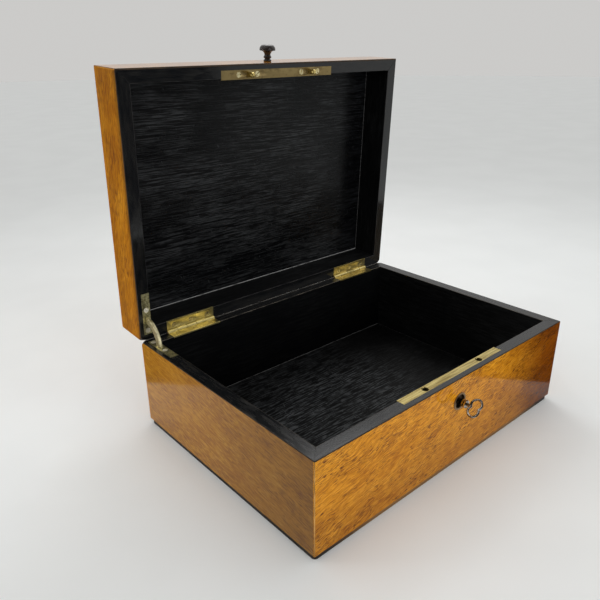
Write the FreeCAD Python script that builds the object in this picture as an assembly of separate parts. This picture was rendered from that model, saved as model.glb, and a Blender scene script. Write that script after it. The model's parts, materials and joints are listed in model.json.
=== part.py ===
import FreeCAD, Part
import math
import os

# A veneered wooden box with a hinged lid, a quadrant stay, a lock and a key, standing open.
# Millimetres. X runs to the right, Y to the back and Z up, from the middle of the underside.
# The lid is built shut and turned open at the end.

# Carcase
box_width = 300.0
box_depth = 217.0
base_height = 80.3
lid_height = 34.4
rim_gap = 0.4
wall_thickness = 9.6
veneer_thickness = 1.2
floor_thickness = 10.4
floor_lip_height = 4.5
floor_lip_inset = 1.2
floor_lip_round = 3.0
lid_panel_thickness = 4.5
edge_round = 0.7
back_corner_reach = 4.5
back_corner_depth = 6.3

# Hinges
lid_open_angle = 87.3
hinge_length = 48.0
hinge_end_margin = 25.2
hinge_axis_setback = -0.2
hinge_leaf_thickness = 1.4
hinge_screw_spacing = 17.0
knuckle_radius = 2.0
knuckle_count = 5
knuckle_gap = 0.25
hinge_pin_radius = 1.0
hinge_pin_clearance = 0.05

# Countersunk wood screws
screw_head_radius = 2.3
screw_shank_radius = 1.2
screw_length = 9.0
screw_tip_length = 3.0
screw_tip_radius = 0.3
screw_slot_width = 0.7
screw_slot_depth = 0.6
screw_clearance = 0.05
screw_turn_step = 38.0

# Quadrant stay
stay_plate_width = 7.2
stay_plate_thickness = 1.4
stay_plate_near = 4.6
stay_plate_far = 42.1
stay_screw_near = 8.1
stay_screw_far = 27.1
stay_radius = 17.9
stay_arm_depth = 5.6
stay_arm_thickness = 2.8
stay_head_step = 1.4
stay_head_length = 2.5
stay_stop_gap = 0.25
stay_slot_clearance = 0.35
stay_pocket_clearance = 0.5

# Lock
lock_proud = 1.0
selvedge_length = 122.0
selvedge_width = 7.0
selvedge_thickness = 1.4
lock_plate_length = 112.0
lock_plate_height = 36.0
lock_plate_thickness = 1.2
lock_case_length = 96.0
lock_case_height = 34.0
lock_case_thickness = 0.8
lock_screw_length = 7.0
lock_screw_drop = 8.0
lock_screw_spacing_z = 22.0
hook_spacing = 67.5
hook_hole_radius = 2.8
key_drop = 20.4

# Bolt
bolt_throw = 6.0
bolt_thickness = 2.0
bolt_bar_height = 7.0
bolt_key_clearance = 4.5
bolt_post_width = 3.0
bolt_finger_length = 5.0
bolt_finger_size = 1.4
bolt_finger_setback = 3.0
guide_post_radius = 1.2
guide_post_spacing = 36.0
guide_slot_clearance = 0.2
talon_clearance = 0.6
bolt_spring_span = 30.0
bolt_spring_thickness = 0.5
bolt_spring_gap = 0.3

# Key, escutcheon and drill pin
key_turn_range = 225.0
key_rest_turn = 45.0
key_barrel_radius = 2.2
key_pipe_radius = 1.05
key_pipe_depth = 5.7
key_end_gap = 0.4
key_bit_reach = 6.5
key_bit_thickness = 1.8
key_bit_length = 3.2
key_collar_radius = 3.3
key_collar_start = 3.4
key_collar_length = 1.2
key_collar_gap = 0.8
key_neck_radius = 1.3
bow_centre = 13.6
bow_lobe_radius = 4.2
bow_lobe_offset = 2.8
bow_waist = 3.3
bow_wire_radius = 0.95
keyhole_clearance = 0.3
escutcheon_radius = 7.2
escutcheon_rim_width = 1.5
escutcheon_proud = 0.6
escutcheon_sink = 1.8
escutcheon_floor = 0.8
drill_pin_radius = 0.9
drill_pin_length = 5.1

# Link plate in the lid rim
link_plate_length = 121.0
link_plate_width = 7.4
link_plate_thickness = 1.4
link_screw_offset = 9.5
hook_width = 4.0
hook_thickness = 2.2
hook_eye_radius = 1.25
hook_eye_drop = 5.4
hook_tang_radius = 1.0
hook_tang_clearance = 0.05

# Knob
knob_tenon_radius = 2.5
knob_tenon_length = 7.0
knob_tenon_clearance = 0.05
knob_base_radius = 3.0
knob_bead_radius = 3.45
knob_groove_radius = 2.45
knob_bead_height = 1.5
knob_groove_height = 1.2
knob_neck_radius = 2.6
knob_neck_height = 5.2
knob_flare_radius = 3.5
knob_flare_height = 7.4
knob_lip_radius = 6.75
knob_lip_height = 8.7
knob_cap_radius = 6.45
knob_cap_height = 11.2
knob_top_radius = 4.7
knob_top_height = 13.0
knob_height = 13.6

# Derived planes of the carcase
half_x = box_width / 2
half_y = box_depth / 2
core_x = half_x - veneer_thickness
core_y = half_y - veneer_thickness
inside_x = core_x - wall_thickness
inside_y = core_y - wall_thickness
rim_z = base_height + rim_gap
lid_top_z = rim_z + lid_height
veneer_low_z = lid_top_z - veneer_thickness
panel_low_z = veneer_low_z - lid_panel_thickness

# Derived places of the hardware
axis_y = half_y + hinge_axis_setback
axis_z = base_height + rim_gap / 2
hinge_centre_x = half_x - hinge_end_margin - hinge_length / 2
knuckle_length = (hinge_length - (knuckle_count - 1) * knuckle_gap) / knuckle_count
wall_middle_y = (inside_y + core_y) / 2
screw_head_depth = screw_head_radius - screw_shank_radius
stay_x = -(inside_x + stay_plate_width / 2)
stay_inner_radius = stay_radius - stay_arm_depth / 2
stay_outer_radius = stay_radius + stay_arm_depth / 2
stay_head_radius = stay_outer_radius + stay_head_step
stay_head_drop = rim_gap / 2 + stay_plate_thickness + stay_stop_gap
stay_head_angle = math.degrees(math.asin(stay_head_drop / stay_outer_radius))
stay_end_angle = stay_head_angle + math.degrees(stay_head_length / stay_radius)
stay_sunk_angle = stay_end_angle + lid_open_angle / 2
key_z = base_height - key_drop
lock_face_y = lock_proud - inside_y
lock_back_y = lock_face_y - lock_plate_thickness
lock_front_y = lock_face_y - selvedge_width
case_inner_y = lock_front_y + lock_case_thickness
lock_middle_y = (lock_back_y + case_inner_y) / 2
selvedge_low_z = base_height - selvedge_thickness
hook_x = hook_spacing / 2
hook_eye_z = rim_z - hook_eye_drop
bolt_low_z = key_z + bolt_key_clearance
bolt_high_z = bolt_low_z + bolt_bar_height
bolt_rest = bolt_throw * key_rest_turn / key_turn_range
knob_z = rim_z + lid_height / 2

V = FreeCAD.Vector
RIGHT = V(1, 0, 0)
BACK = V(0, 1, 0)
UP = V(0, 0, 1)
SAME_PLANE = 1e-4


# Shape helpers

def block(x_low, x_high, y_low, y_high, z_low, z_high):
    """Rectangular block between two corners."""
    return Part.makeBox(x_high - x_low, y_high - y_low, z_high - z_low, V(x_low, y_low, z_low))


def fused(pieces):
    """One solid from pieces that touch or overlap."""
    return pieces[0].multiFuse(pieces[1:]).removeSplitter()


def without(shape, cutters):
    """The shape less every cutter that reaches it."""
    for cutter in cutters:
        if shape.BoundBox.intersect(cutter.BoundBox):
            shape = shape.cut(cutter)
    return shape


def arc(start, middle, end):
    """Arc edge through three points."""
    return Part.Arc(start, middle, end).toShape()


def lies_on(edge, axis, value):
    """True where a whole edge lies in the plane axis = value."""
    low = getattr(edge.BoundBox, axis + "Min")
    high = getattr(edge.BoundBox, axis + "Max")
    return abs(low - value) < SAME_PLANE and abs(high - value) < SAME_PLANE


def rounded(shape, outer_planes):
    """Round each edge where two of the outer planes meet."""
    picked = []
    for edge in shape.Edges:
        if sum(lies_on(edge, axis, value) for axis, value in outer_planes) == 2:
            picked.append(edge)
    return shape.makeFillet(edge_round, picked)


def ring_sector(radius_low, radius_high, angle_low, angle_high, thickness):
    """Slice of a ring about the hinge axis at the stay. Angles rise from the front of the axis."""
    def point(radius, angle):
        turn = math.radians(angle)
        return V(stay_x - thickness / 2, axis_y - radius * math.cos(turn), axis_z + radius * math.sin(turn))

    angle_mid = (angle_low + angle_high) / 2
    inner = [point(radius_low, angle) for angle in (angle_low, angle_mid, angle_high)]
    outer = [point(radius_high, angle) for angle in (angle_high, angle_mid, angle_low)]
    high_end = Part.makeLine(inner[2], outer[0])
    low_end = Part.makeLine(outer[2], inner[0])
    return Part.Face(Part.Wire([arc(*inner), high_end, arc(*outer), low_end])).extrude(RIGHT * thickness)


# Screws

def screw(head, direction, length, number):
    """Slotted countersunk screw. head is the middle of the flat head, direction points into the wood."""
    cone = Part.makeCone(screw_head_radius, screw_shank_radius, screw_head_depth, V(), -UP)
    shank_length = length - screw_tip_length
    shank = Part.makeCylinder(screw_shank_radius, shank_length, V(), -UP)
    tip = Part.makeCone(screw_shank_radius, screw_tip_radius, screw_tip_length, -UP * shank_length, -UP)
    slot = block(-screw_head_radius, screw_head_radius, -screw_slot_width / 2, screw_slot_width / 2,
                 -screw_slot_depth, screw_slot_depth)
    slot.rotate(V(), UP, number * screw_turn_step)
    body = fused([cone, shank, tip]).cut(slot)
    body.Placement = FreeCAD.Placement(head, FreeCAD.Rotation(-UP, direction))
    return body


def screw_hole(head, direction, length):
    """Countersunk hole that the screw fits with its clearance."""
    head_radius = screw_head_radius + screw_clearance
    shank_radius = screw_shank_radius + screw_clearance
    cone = Part.makeCone(head_radius, shank_radius, screw_head_depth, head, direction)
    shank = Part.makeCylinder(shank_radius, length + screw_clearance, head, direction)
    return fused([cone, shank])


def screws_and_holes(heads, direction, length):
    """Matching lists of screws and holes."""
    screws = [screw(head, direction, length, number) for number, head in enumerate(heads)]
    holes = [screw_hole(head, direction, length) for head in heads]
    return screws, holes


# Carcase of the base and the lid

def mitred_walls(z_low, z_high):
    """Four walls that meet in mitres, by side."""
    outer = [(-core_x, -core_y), (core_x, -core_y), (core_x, core_y), (-core_x, core_y)]
    inner = [(-inside_x, -inside_y), (inside_x, -inside_y), (inside_x, inside_y), (-inside_x, inside_y)]
    walls = {}
    for index, side in enumerate(("front", "right", "back", "left")):
        after = (index + 1) % 4
        corners = [outer[index], outer[after], inner[after], inner[index], outer[index]]
        outline = Part.makePolygon([V(x, y, z_low) for x, y in corners])
        walls[side] = Part.Face(outline).extrude(UP * (z_high - z_low))
    return walls


def side_veneers(z_low, z_high, rim):
    """Veneer on the four sides. Front and back cover the ends of left and right, and the back rim stays sharp."""
    front = block(-half_x, half_x, -half_y, -core_y, z_low, z_high)
    back = block(-half_x, half_x, core_y, half_y, z_low, z_high)
    left = block(-half_x, -core_x, -core_y, core_y, z_low, z_high)
    right = block(core_x, half_x, -core_y, core_y, z_low, z_high)
    ends = [("X", -half_x), ("X", half_x)]
    rim_plane = ("Z", rim)
    return {
        "front": rounded(front, ends + [("Y", -half_y), rim_plane]),
        "back": rounded(back, ends + [("Y", half_y)]),
        "left": rounded(left, ends + [rim_plane]),
        "right": rounded(right, ends + [rim_plane]),
    }


def base_floor():
    """Bottom board let in between the walls, with a round cornered lip under them."""
    board = block(-inside_x, inside_x, -inside_y, inside_y, 0, floor_thickness)
    lip_x = half_x - floor_lip_inset
    lip_y = half_y - floor_lip_inset
    lip = block(-lip_x, lip_x, -lip_y, lip_y, 0, floor_lip_height)
    upright = [edge for edge in lip.Edges if edge.BoundBox.ZLength > SAME_PLANE]
    return fused([board, lip.makeFillet(floor_lip_round, upright)])


def back_corners(rim, side):
    """What is worn off the two back corners at a rim: side is -1 on the base and 1 on the lid."""
    ball_radius = math.hypot(back_corner_depth - back_corner_reach, back_corner_depth * math.sqrt(2))
    worn = []
    for end in (-1, 1):
        corner = V(end * half_x, half_y, rim)
        middle = corner + V(-end, -1, side) * back_corner_depth
        beyond = corner + V(end, 1, -side)
        spans = [sorted(pair) for pair in zip(middle, beyond)]
        worn.append(block(*spans[0], *spans[1], *spans[2]).cut(Part.makeSphere(ball_radius, middle)))
    return worn


def lid_top_veneer():
    """Veneer over the top, covering the upper edges of the side veneers."""
    sheet = block(-half_x, half_x, -half_y, half_y, veneer_low_z, lid_top_z)
    sides = [("X", -half_x), ("X", half_x), ("Y", -half_y), ("Y", half_y)]
    return rounded(sheet, sides + [("Z", lid_top_z)])


# Hinges

def leaf_levels(side):
    """Lower and upper face of a leaf: side is -1 on the base and 1 on the lid."""
    face = axis_z + side * rim_gap / 2
    return sorted((face, face + side * hinge_leaf_thickness))


def hinge_leaf(centre_x, side, knuckles):
    """Leaf with the knuckles whose numbers are given, bored for the pin."""
    z_low, z_high = leaf_levels(side)
    x_start = centre_x - hinge_length / 2
    plate_end_y = axis_y - knuckle_radius - knuckle_gap
    pieces = [block(x_start, x_start + hinge_length, inside_y, plate_end_y, z_low, z_high)]
    for number in knuckles:
        x_low = x_start + number * (knuckle_length + knuckle_gap)
        pieces.append(block(x_low, x_low + knuckle_length, plate_end_y, axis_y, z_low, z_high))
        pieces.append(Part.makeCylinder(knuckle_radius, knuckle_length, V(x_low, axis_y, axis_z), RIGHT))
    bore_radius = hinge_pin_radius + hinge_pin_clearance
    bore = Part.makeCylinder(bore_radius, hinge_length, V(x_start, axis_y, axis_z), RIGHT)
    return fused(pieces).cut(bore)


def hinge_mortise(centre_x, side):
    """Shallow recess for a leaf, open to the inside and the back, with a round groove for the knuckles."""
    z_low, z_high = leaf_levels(side)
    x_low = centre_x - hinge_length / 2
    seat = block(x_low, x_low + hinge_length, inside_y, half_y, z_low, z_high)
    groove_start = V(x_low - knuckle_gap, axis_y, axis_z)
    groove = Part.makeCylinder(knuckle_radius + knuckle_gap, hinge_length + 2 * knuckle_gap, groove_start, RIGHT)
    return fused([seat, groove])


def hinge_pin(centre_x):
    """Pin through all the knuckles of a hinge."""
    start = V(centre_x - hinge_length / 2, axis_y, axis_z)
    return Part.makeCylinder(hinge_pin_radius, hinge_length, start, RIGHT)


def hinge_screw_heads(side):
    """Head places of the screws of both leaves on one side."""
    face = axis_z + side * rim_gap / 2
    heads = []
    for centre_x in (-hinge_centre_x, hinge_centre_x):
        for step in (-1, 0, 1):
            heads.append(V(centre_x + step * hinge_screw_spacing, wall_middle_y, face))
    return heads


# Quadrant stay

def stay_plate_blank(side):
    """Outline of a stay plate: side is -1 on the base and 1 on the lid."""
    face = axis_z + side * rim_gap / 2
    z_low, z_high = sorted((face, face + side * stay_plate_thickness))
    x_low = stay_x - stay_plate_width / 2
    x_high = stay_x + stay_plate_width / 2
    return block(x_low, x_high, axis_y - stay_plate_far, axis_y - stay_plate_near, z_low, z_high)


def stay_slot():
    """Slot that the arm slides through, long enough for both plates."""
    half_width = stay_arm_thickness / 2 + stay_slot_clearance
    y_low = axis_y - stay_outer_radius - stay_slot_clearance
    y_high = axis_y - stay_inner_radius + stay_slot_clearance
    reach = rim_gap + stay_plate_thickness
    return block(stay_x - half_width, stay_x + half_width, y_low, y_high, axis_z - reach, axis_z + reach)


def stay_pocket(side):
    """Curved pocket in the wood that the arm swings into as the lid shuts."""
    angles = sorted((0, side * (stay_sunk_angle + math.degrees(stay_pocket_clearance / stay_radius))))
    radius_low = stay_inner_radius - stay_pocket_clearance
    radius_high = stay_head_radius + stay_pocket_clearance
    thickness = stay_arm_thickness + 2 * stay_pocket_clearance
    return ring_sector(radius_low, radius_high, angles[0], angles[1], thickness)


def stay_screw_heads(side):
    """Head places of the screws of one stay plate."""
    face = axis_z + side * rim_gap / 2
    return [V(stay_x, axis_y - distance, face) for distance in (stay_screw_near, stay_screw_far)]


def stay_arm():
    """Curved arm, with a stop head behind each plate, where it stands when the lid is open."""
    low_end = -stay_end_angle
    high_end = lid_open_angle + stay_end_angle
    high_stop = lid_open_angle + stay_head_angle

    def sector(radius_high, angle_low, angle_high):
        return ring_sector(stay_inner_radius, radius_high, angle_low, angle_high, stay_arm_thickness)

    bar = sector(stay_outer_radius, low_end, high_end)
    low_head = sector(stay_head_radius, low_end, -stay_head_angle)
    high_head = sector(stay_head_radius, high_stop, high_end)
    return fused([bar, low_head, high_head])


# Lock

def keyhole(y_low, y_high):
    """Round hole with a slot below it for the bit."""
    length = y_high - y_low
    hole = Part.makeCylinder(key_barrel_radius + keyhole_clearance, length, V(0, y_low, key_z), BACK)
    half_slot = key_bit_thickness / 2 + keyhole_clearance
    slot = block(-half_slot, half_slot, y_low, y_high, key_z - key_bit_reach - keyhole_clearance, key_z)
    return fused([hole, slot])


def selvedge_blank():
    """Outline of the plate in the rim."""
    half_length = selvedge_length / 2
    return block(-half_length, half_length, lock_front_y, lock_face_y, selvedge_low_z, base_height)


def back_plate_blank():
    """Outline of the plate on the inner face of the front wall."""
    half_length = lock_plate_length / 2
    z_low = base_height - lock_plate_height
    return block(-half_length, half_length, lock_back_y, lock_face_y, z_low, selvedge_low_z)


def case_blank():
    """Outline of the lock case in front of the back plate."""
    half_length = lock_case_length / 2
    z_low = base_height - lock_case_height
    return block(-half_length, half_length, lock_front_y, lock_back_y, z_low, selvedge_low_z)


def lock_plate(screw_holes):
    """Selvedge and back plate in one bent piece, with two holes for the hooks."""
    holes = []
    for x in (-hook_x, hook_x):
        start = V(x, lock_middle_y, selvedge_low_z)
        holes.append(Part.makeCylinder(hook_hole_radius, selvedge_thickness, start, UP))
    return without(fused([selvedge_blank(), back_plate_blank()]), holes + screw_holes)


def lock_case():
    """Tray over the works, open at the back and the top, with the keyhole in its front."""
    half_length = lock_case_length / 2 - lock_case_thickness
    z_low = base_height - lock_case_height + lock_case_thickness
    hollow = block(-half_length, half_length, case_inner_y, lock_back_y, z_low, selvedge_low_z)
    return case_blank().cut(hollow).cut(keyhole(lock_front_y, case_inner_y))


def lock_posts():
    """Two posts that guide the bolt."""
    post_z = (bolt_low_z + bolt_high_z + key_bit_reach - bolt_key_clearance) / 2
    posts = []
    for x in (-guide_post_spacing / 2, guide_post_spacing / 2):
        start = V(x, case_inner_y, post_z)
        posts.append(Part.makeCylinder(guide_post_radius, lock_back_y - case_inner_y, start, BACK))
    return posts


def lock_screw_heads():
    """Head places on the back plate, beside the case."""
    x = (lock_plate_length + lock_case_length) / 4
    z_high = base_height - lock_screw_drop
    return [V(side * x, lock_face_y, z) for side in (-1, 1) for z in (z_high, z_high - lock_screw_spacing_z)]


def drill_pin():
    """Pin on the back plate that the hollow key turns on."""
    start = V(0, lock_back_y - drill_pin_length, key_z)
    return Part.makeCylinder(drill_pin_radius, drill_pin_length, start, BACK)


def lock_bolt(posts):
    """Sliding bar with two upright fingers, drawn back as far as it goes."""
    y_low = lock_middle_y - bolt_thickness / 2
    y_high = lock_middle_y + bolt_thickness / 2
    finger_end = -bolt_finger_setback
    post_end = finger_end - bolt_finger_length
    post_start = post_end - bolt_post_width
    finger_low = hook_eye_z - bolt_finger_size / 2
    finger_high = hook_eye_z + bolt_finger_size / 2
    pieces = [block(post_start - hook_x, post_end + hook_x, y_low, y_high, bolt_low_z, bolt_high_z)]
    for x in (-hook_x, hook_x):
        pieces.append(block(x + post_start, x + post_end, y_low, y_high, bolt_high_z, finger_high))
        pieces.append(block(x + post_end, x + finger_end, lock_middle_y - bolt_finger_size / 2,
                            lock_middle_y + bolt_finger_size / 2, finger_low, finger_high))
    talon_reach = key_bit_reach + bolt_throw / 2 + talon_clearance
    talon_top = key_z + key_bit_reach + talon_clearance
    cuts = [block(-talon_reach, 0, y_low, y_high, bolt_low_z, talon_top)]
    slot_half = guide_post_radius + guide_slot_clearance
    for post in posts:
        middle = post.BoundBox.Center
        slot_start = middle.x - bolt_throw - slot_half
        cuts.append(block(slot_start, middle.x + slot_half, y_low, y_high,
                          middle.z - slot_half, middle.z + slot_half))
    return without(fused(pieces), cuts)


def bolt_spring():
    """Bowed leaf on top of the bolt that bears up under the selvedge."""
    half_span = bolt_spring_span / 2
    crown = selvedge_low_z - bolt_spring_gap
    y_low = lock_middle_y - bolt_thickness / 2
    foot = bolt_spring_thickness

    def point(x, z):
        return V(x, y_low, z)

    upper = arc(point(-half_span, bolt_high_z), point(0, crown), point(half_span, bolt_high_z))
    lower = arc(point(half_span - foot, bolt_high_z), point(0, crown - bolt_spring_thickness),
                point(foot - half_span, bolt_high_z))
    right_foot = Part.makeLine(point(half_span, bolt_high_z), point(half_span - foot, bolt_high_z))
    left_foot = Part.makeLine(point(foot - half_span, bolt_high_z), point(-half_span, bolt_high_z))
    return Part.Face(Part.Wire([upper, right_foot, lower, left_foot])).extrude(BACK * bolt_thickness)


# Escutcheon

def escutcheon_blank():
    """Outline of the round cup let into the front."""
    start = V(0, -half_y - escutcheon_proud, key_z)
    return Part.makeCylinder(escutcheon_radius, escutcheon_proud + escutcheon_sink, start, BACK)


def escutcheon():
    """Shallow cup with a raised rim and the keyhole in its floor."""
    floor_y = -half_y + escutcheon_sink - escutcheon_floor
    front_y = -half_y - escutcheon_proud
    dish_radius = escutcheon_radius - escutcheon_rim_width
    dish = Part.makeCylinder(dish_radius, floor_y - front_y, V(0, front_y, key_z), BACK)
    return escutcheon_blank().cut(dish).cut(keyhole(floor_y, floor_y + escutcheon_floor))


# Key

def key_bow():
    """Wire bent into two lobes with a waist, in the plane of the bit."""
    waist_radius = ((bow_lobe_offset ** 2 + bow_waist ** 2 - bow_lobe_radius ** 2)
                    / (2 * (bow_lobe_radius - bow_waist)))
    share = bow_lobe_radius / (bow_lobe_radius + waist_radius)
    join_out = share * (bow_waist + waist_radius)
    join_up = bow_lobe_offset * (1 - share)
    crown = bow_lobe_offset + bow_lobe_radius

    def point(out, up):
        return V(0, -half_y - bow_centre - out, key_z + up)

    path = Part.Wire([
        arc(point(join_out, join_up), point(0, crown), point(-join_out, join_up)),
        arc(point(-join_out, join_up), point(-bow_waist, 0), point(-join_out, -join_up)),
        arc(point(-join_out, -join_up), point(0, -crown), point(join_out, -join_up)),
        arc(point(join_out, -join_up), point(bow_waist, 0), point(join_out, join_up)),
    ])
    along = V(0, join_up - bow_lobe_offset, join_out)
    section = Part.Wire(Part.makeCircle(bow_wire_radius, point(join_out, join_up), along))
    return path.makePipeShell([section], True, False)


def key():
    """Hollow key with a collared stem and a two-lobed bow, its bit pointing down."""
    end_y = lock_back_y - key_end_gap

    def turned(radius, inner_y, outer_y):
        return Part.makeCylinder(radius, inner_y - outer_y, V(0, outer_y, key_z), BACK)

    collar_y = -half_y - key_collar_start
    second_y = collar_y - key_collar_length - key_collar_gap
    stem_end_y = second_y - key_collar_length
    waist_y = -half_y - bow_centre + bow_waist
    bit_y = lock_middle_y - key_bit_length / 2
    half_bit = key_bit_thickness / 2
    bit = block(-half_bit, half_bit, bit_y, bit_y + key_bit_length, key_z - key_bit_reach, key_z)
    solid = fused([
        turned(key_barrel_radius, end_y, stem_end_y),
        turned(key_collar_radius, collar_y, collar_y - key_collar_length),
        turned(key_collar_radius, second_y, stem_end_y),
        turned(key_neck_radius, stem_end_y, waist_y),
        bit,
        key_bow(),
    ])
    pipe = turned(key_pipe_radius, end_y, end_y - key_pipe_depth)
    return solid.cut(pipe)


# Link plate

def link_plate_blank():
    """Outline of the plate in the lid rim."""
    half_length = link_plate_length / 2
    y_low = lock_face_y - link_plate_width
    return block(-half_length, half_length, y_low, lock_face_y, rim_z, rim_z + link_plate_thickness)


def link_hook(x):
    """Flat loop standing out of the link plate, open for the bolt finger, with a riveted tang."""
    half_width = hook_width / 2
    x_low = x - hook_thickness / 2
    shank = block(x_low, x_low + hook_thickness, lock_middle_y - half_width, lock_middle_y + half_width,
                  hook_eye_z, rim_z)
    end = Part.makeCylinder(half_width, hook_thickness, V(x_low, lock_middle_y, hook_eye_z), RIGHT)
    tang = Part.makeCylinder(hook_tang_radius, link_plate_thickness, V(x, lock_middle_y, rim_z), UP)
    eye = Part.makeCylinder(hook_eye_radius, hook_thickness, V(x_low, lock_middle_y, hook_eye_z), RIGHT)
    return fused([shank, end, tang]).cut(eye)


def link_tang_hole(x):
    """Hole in the link plate for a hook's tang."""
    radius = hook_tang_radius + hook_tang_clearance
    return Part.makeCylinder(radius, link_plate_thickness, V(x, lock_middle_y, rim_z), UP)


def link_screw_heads():
    """Head places on either side of each hook."""
    heads = []
    for x in (-hook_x, hook_x):
        for step in (-link_screw_offset, link_screw_offset):
            heads.append(V(x + step, lock_middle_y, rim_z))
    return heads


# Knob

def knob():
    """Turned knob with two beads, a neck and a mushroom cap, on a tenon in the lid front."""
    def point(radius, height):
        return V(radius, -half_y - height, knob_z)

    bead = knob_bead_height
    groove_top = bead + knob_groove_height
    second_top = groove_top + bead
    groove_middle = bead + knob_groove_height / 2
    axis_low = point(0, -knob_tenon_length)
    tenon_low = point(knob_tenon_radius, -knob_tenon_length)
    tenon_high = point(knob_tenon_radius, 0)
    bead_low = point(knob_base_radius, 0)
    bead_high = point(knob_base_radius, bead)
    second_low = point(knob_base_radius, groove_top)
    second_high = point(knob_base_radius, second_top)
    neck = point(knob_neck_radius, knob_neck_height)
    lip = point(knob_lip_radius, knob_lip_height)
    top = point(knob_top_radius, knob_top_height)
    dome_rise = knob_height - knob_top_height
    dome_radius = (knob_top_radius ** 2 + dome_rise ** 2) / (2 * dome_rise)
    dome_half_turn = math.asin(knob_top_radius / dome_radius) / 2
    dome_drop = dome_radius * (1 - math.cos(dome_half_turn))
    dome_middle = point(dome_radius * math.sin(dome_half_turn), knob_height - dome_drop)
    axis_high = point(0, knob_height)
    profile = Part.Wire([
        Part.makeLine(axis_low, tenon_low),
        Part.makeLine(tenon_low, tenon_high),
        Part.makeLine(tenon_high, bead_low),
        arc(bead_low, point(knob_bead_radius, bead / 2), bead_high),
        arc(bead_high, point(knob_groove_radius, groove_middle), second_low),
        arc(second_low, point(knob_bead_radius, groove_top + bead / 2), second_high),
        Part.makeLine(second_high, neck),
        arc(neck, point(knob_flare_radius, knob_flare_height), lip),
        arc(lip, point(knob_cap_radius, knob_cap_height), top),
        arc(top, dome_middle, axis_high),
        Part.makeLine(axis_high, axis_low),
    ])
    return Part.Face(profile).revolve(V(0, 0, knob_z), BACK, 360)


def knob_hole():
    """Hole in the lid front for the knob's tenon."""
    radius = knob_tenon_radius + knob_tenon_clearance
    start = V(0, -half_y + knob_tenon_length + knob_tenon_clearance, knob_z)
    return Part.makeCylinder(radius, knob_tenon_length + knob_tenon_clearance, start, -BACK)


# Assembly

def base_nodes():
    """Everything that stands still."""
    hinge_screws, hinge_holes = screws_and_holes(hinge_screw_heads(-1), -UP, screw_length)
    stay_screws, stay_holes = screws_and_holes(stay_screw_heads(-1), -UP, screw_length)
    lock_screws, lock_holes = screws_and_holes(lock_screw_heads(), -BACK, lock_screw_length)
    cutters = hinge_holes + stay_holes + lock_holes + back_corners(base_height, -1) + [
        hinge_mortise(-hinge_centre_x, -1),
        hinge_mortise(hinge_centre_x, -1),
        stay_plate_blank(-1),
        stay_pocket(-1),
        selvedge_blank(),
        back_plate_blank(),
        case_blank(),
        escutcheon_blank(),
        keyhole(-half_y, -inside_y),
    ]
    nodes = {
        "base_floor": base_floor(),
        "hinge_base_screws": Part.makeCompound(hinge_screws),
        "stay_base_plate": without(stay_plate_blank(-1), stay_holes + [stay_slot()]),
        "stay_base_screws": Part.makeCompound(stay_screws),
        "lock_plate": lock_plate(lock_holes),
        "lock_case": lock_case(),
        "lock_guide_posts": Part.makeCompound(lock_posts()),
        "lock_drill_pin": drill_pin(),
        "lock_screws": Part.makeCompound(lock_screws),
        "escutcheon": escutcheon(),
    }
    for side, wall in mitred_walls(floor_lip_height, base_height).items():
        nodes["base_" + side + "_wall"] = without(wall, cutters)
    for side, sheet in side_veneers(floor_lip_height, base_height, base_height).items():
        nodes["base_" + side + "_veneer"] = without(sheet, cutters)
    for name, centre_x in (("left", -hinge_centre_x), ("right", hinge_centre_x)):
        leaf = hinge_leaf(centre_x, -1, range(0, knuckle_count, 2))
        nodes[name + "_hinge_base_leaf"] = without(leaf, hinge_holes)
        nodes[name + "_hinge_pin"] = hinge_pin(centre_x)
    return nodes


def lid_nodes():
    """Everything that swings with the lid, as it lies when shut."""
    hinge_screws, hinge_holes = screws_and_holes(hinge_screw_heads(1), UP, screw_length)
    stay_screws, stay_holes = screws_and_holes(stay_screw_heads(1), UP, screw_length)
    link_screws, link_holes = screws_and_holes(link_screw_heads(), UP, screw_length)
    tang_holes = [link_tang_hole(-hook_x), link_tang_hole(hook_x)]
    cutters = hinge_holes + stay_holes + link_holes + back_corners(rim_z, 1) + [
        hinge_mortise(-hinge_centre_x, 1),
        hinge_mortise(hinge_centre_x, 1),
        stay_plate_blank(1),
        stay_pocket(1),
        link_plate_blank(),
        knob_hole(),
    ]
    nodes = {
        "lid_top_panel": block(-core_x, core_x, -core_y, core_y, panel_low_z, veneer_low_z),
        "lid_top_veneer": lid_top_veneer(),
        "lid_knob": knob(),
        "hinge_lid_screws": Part.makeCompound(hinge_screws),
        "stay_lid_plate": without(stay_plate_blank(1), stay_holes + [stay_slot()]),
        "stay_lid_screws": Part.makeCompound(stay_screws),
        "link_plate": without(link_plate_blank(), link_holes + tang_holes),
        "link_hooks": Part.makeCompound([link_hook(-hook_x), link_hook(hook_x)]),
        "link_plate_screws": Part.makeCompound(link_screws),
    }
    for side, wall in mitred_walls(rim_z, panel_low_z).items():
        nodes["lid_" + side + "_wall"] = without(wall, cutters)
    for side, sheet in side_veneers(rim_z, veneer_low_z, rim_z).items():
        nodes["lid_" + side + "_veneer"] = without(sheet, cutters)
    for name, centre_x in (("left", -hinge_centre_x), ("right", hinge_centre_x)):
        leaf = hinge_leaf(centre_x, 1, range(1, knuckle_count, 2))
        nodes[name + "_hinge_lid_leaf"] = without(leaf, hinge_holes)
    return nodes


def works_nodes():
    """The stay arm, the key and the bolt, each where it stands at rest."""
    turned_key = key()
    turned_key.rotate(V(0, 0, key_z), BACK, key_rest_turn)
    bolt = lock_bolt(lock_posts())
    spring = bolt_spring()
    for piece in (bolt, spring):
        piece.translate(RIGHT * bolt_rest)
    return {"stay_arm": stay_arm(), "key": turned_key, "lock_bolt": bolt, "lock_bolt_spring": spring}


nodes = base_nodes()
nodes.update(works_nodes())
for name, shape in lid_nodes().items():
    shape.rotate(V(0, axis_y, axis_z), RIGHT, -lid_open_angle)
    nodes[name] = shape

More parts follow.
